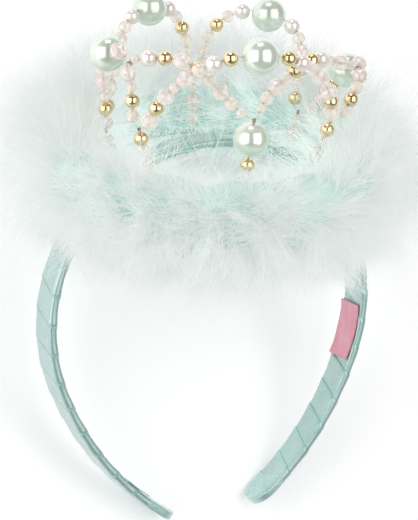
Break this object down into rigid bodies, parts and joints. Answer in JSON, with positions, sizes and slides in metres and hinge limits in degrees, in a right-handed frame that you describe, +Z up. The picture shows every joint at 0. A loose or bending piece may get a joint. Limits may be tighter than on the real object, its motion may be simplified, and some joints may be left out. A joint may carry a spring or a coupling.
{
  "type": "mini crown headband",
  "caption": "Satin-wrapped C-shaped headband carrying a small lobed crown of wired pearls, gold beads and cut crystals, set in a ring of pale aqua down.",
  "frame": {"origin": "middle of the base on the surface that the headband lies on", "axes": "+Z up from the surface; +Y from the band's open ends to the top of the crown; +X to the wearer's left, so that the crown's front looks up"},
  "size_m": [0.1372, 0.1776, 0.1354],
  "materials": {
    "satin": "satin",
    "ribbon": "satin",
    "label": "woven",
    "wire": "satin",
    "down": "fluffy",
    "mint_pearl": "pearlescent",
    "gold": "polished",
    "clear_beads": "polished"
  },
  "bodies": {
    "root": {"band": "satin", "ribbon_tail": "ribbon", "label": "label", "crown_wire": "wire", "marabou": "down", "pearl_front": "mint_pearl", "pearl_left": "mint_pearl", "pearl_back_left": "mint_pearl", "pearl_back_right": "mint_pearl", "pearl_right": "mint_pearl", "pearl_post": "mint_pearl", "gold_front_1": "gold", "gold_front_2": "gold", "gold_front_3": "gold", "gold_front_4": "gold", "gold_left_1": "gold", "gold_left_2": "gold", "gold_back_left_1": "gold", "gold_back_left_2": "gold", "gold_back_right_1": "gold", "gold_back_right_2": "gold", "gold_back_right_3": "gold", "gold_right_1": "gold", "gold_right_2": "gold", "gold_garland_left_1": "gold", "gold_garland_left_2": "gold", "gold_garland_right_1": "gold", "gold_garland_right_2": "gold", "gold_post_front": "gold", "gold_post_left": "gold", "gold_post_right": "gold", "beads_front": "clear_beads", "beads_left": "clear_beads", "beads_back_left": "clear_beads", "beads_back_right": "clear_beads", "beads_right": "clear_beads", "beads_garland_left": "clear_beads", "beads_garland_right": "clear_beads", "beads_posts": "clear_beads"}
  },
  "joints": []
}
